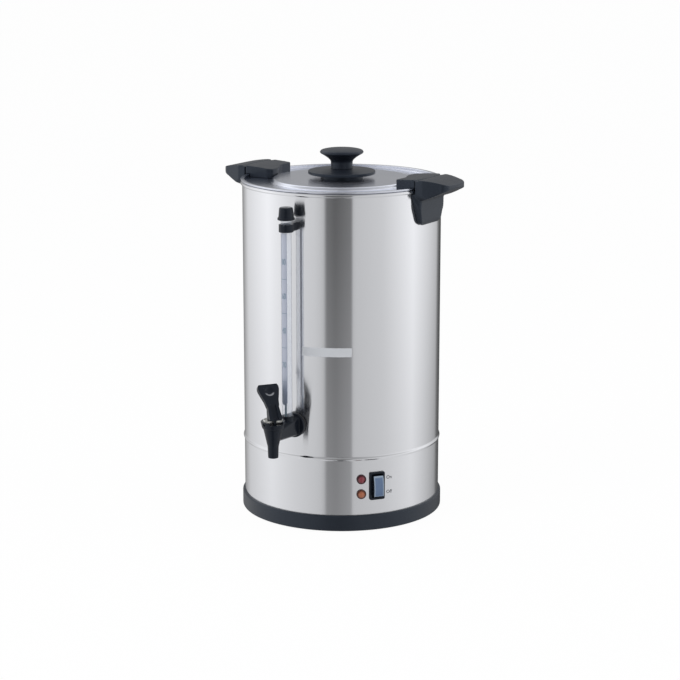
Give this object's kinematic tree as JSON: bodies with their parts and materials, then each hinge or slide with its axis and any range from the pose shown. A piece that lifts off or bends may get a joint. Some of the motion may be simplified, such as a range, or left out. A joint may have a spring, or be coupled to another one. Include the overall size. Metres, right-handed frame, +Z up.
{
  "type": "coffee urn",
  "caption": "Tall steel coffee urn with a lift-off lid, side handles, a lever tap under a sight gauge, a rocker switch with pilot lamps, and a percolator inside.",
  "frame": {"origin": "on the tank's axis, at the plane the feet stand on", "axes": "+Z up, -Y towards the tap, +X towards the controls' side"},
  "size_m": [0.3292, 0.3233, 0.4635],
  "materials": {
    "tank_steel": "brushed round the body",
    "lid_steel": "polished",
    "black_plastic": "satin",
    "grey_rubber": "matt",
    "fastener_steel": "plated",
    "plate_steel": "plain sheet",
    "white_plastic": "moulded",
    "white_silicone": "moulded silicone",
    "clear_tube": "clear",
    "scale_print": "printed strip",
    "rocker_plastic": "clear blue-grey lens",
    "red_lens": "clear red lens",
    "amber_lens": "clear amber lens",
    "pin_brass": "plain",
    "element_sheath": "plain",
    "element_pad": "mica and foil pad",
    "terminal_plastic": "moulded",
    "basket_aluminium": "spun and pierced"
  },
  "bodies": {
    "urn": {"rubber_feet": "grey_rubber", "base_ring": "black_plastic", "base_plate": "plate_steel", "base_screws": "fastener_steel", "pillars": "element_sheath", "pillar_screws": "fastener_steel", "lower_housing": "tank_steel", "tank_wall": "tank_steel", "tank_floor": "tank_steel", "brew_element": "element_sheath", "warm_element": "element_pad", "thermostats": "terminal_plastic", "terminal_block": "terminal_plastic", "handle_left": "black_plastic", "handle_right": "black_plastic", "handle_screws": "fastener_steel", "tap_body": "black_plastic", "tap_gasket": "grey_rubber", "tap_washer": "grey_rubber", "tap_nut": "fastener_steel", "gauge_tube": "clear_tube", "gauge_scale": "scale_print", "gauge_seal": "grey_rubber", "gauge_clip": "black_plastic", "clip_screw": "fastener_steel", "switch_body": "black_plastic", "brew_lamp": "red_lens", "warm_lamp": "amber_lens", "lamp_nuts": "black_plastic", "power_inlet": "black_plastic", "inlet_pins": "pin_brass", "inlet_screws": "fastener_steel"},
    "lid": {"lid_panel": "lid_steel", "lid_tab_left": "black_plastic", "lid_tab_right": "black_plastic", "tab_screws": "fastener_steel", "knob_grip": "black_plastic", "knob_skirt": "black_plastic", "knob_screw": "fastener_steel"},
    "basket_cover": {"basket_cover": "basket_aluminium"},
    "basket": {"coffee_basket": "basket_aluminium", "basket_screen": "basket_aluminium"},
    "pump": {"pump_tube": "basket_aluminium", "pump_foot": "basket_aluminium"},
    "tap_bonnet": {"tap_bonnet": "black_plastic", "bonnet_disc": "white_plastic", "lever_pin": "fastener_steel"},
    "tap_lever": {"tap_lever": "black_plastic"},
    "tap_plunger": {"tap_stem": "white_plastic", "stem_pin": "fastener_steel", "tap_plug": "white_silicone"},
    "rocker": {"switch_rocker": "black_plastic", "rocker_lens": "rocker_plastic"},
    "gauge_cap": {"gauge_cap": "black_plastic"}
  },
  "joints": [
    {"name": "lid_lift", "type": "slide", "parent": "urn", "child": "lid", "axis": [0, 0, 1], "range_m": [0, 0.45]},
    {"name": "cover_lift", "type": "slide", "parent": "urn", "child": "basket_cover", "axis": [0, 0, 1], "range_m": [0, 0.41]},
    {"name": "basket_lift", "type": "slide", "parent": "urn", "child": "basket", "axis": [0, 0, 1], "range_m": [0, 0.375]},
    {"name": "pump_lift", "type": "slide", "parent": "urn", "child": "pump", "axis": [0, 0, 1], "range_m": [0, 0.345]},
    {"name": "bonnet_turn", "type": "hinge", "parent": "urn", "child": "tap_bonnet", "pos_m": [0, -0.1798, 0.1484], "axis": [0, 0, 1], "range_deg": [-50, 40]},
    {"name": "lever_tip", "type": "hinge", "parent": "tap_bonnet", "child": "tap_lever", "pos_m": [0.00383, -0.18301, 0.15], "axis": [0.6428, 0.766, 0], "range_deg": [0, 42], "stiffness_Nm_per_rad": 0.2, "springref_deg": -8.59},
    {"name": "plunger_lift", "type": "slide", "parent": "tap_bonnet", "child": "tap_plunger", "axis": [0, 0, 1], "range_m": [0, 0.0045]},
    {"name": "rocker_tip", "type": "hinge", "parent": "urn", "child": "rocker", "pos_m": [0.09067, -0.08193, 0.0585], "axis": [0.6704, 0.742, 0], "range_deg": [0, 10]},
    {"name": "cap_pull", "type": "slide", "parent": "urn", "child": "gauge_cap", "axis": [0, 0, 1], "range_m": [0, 0.03]}
  ],
  "couplings": [
    {"joint": "cover_lift", "follows": "lid_lift", "ratio": 0.9},
    {"joint": "basket_lift", "follows": "lid_lift", "ratio": 0.82},
    {"joint": "pump_lift", "follows": "lid_lift", "ratio": 0.75},
    {"joint": "plunger_lift", "follows": "lever_tip", "m_per_rad": 0.0059}
  ]
}
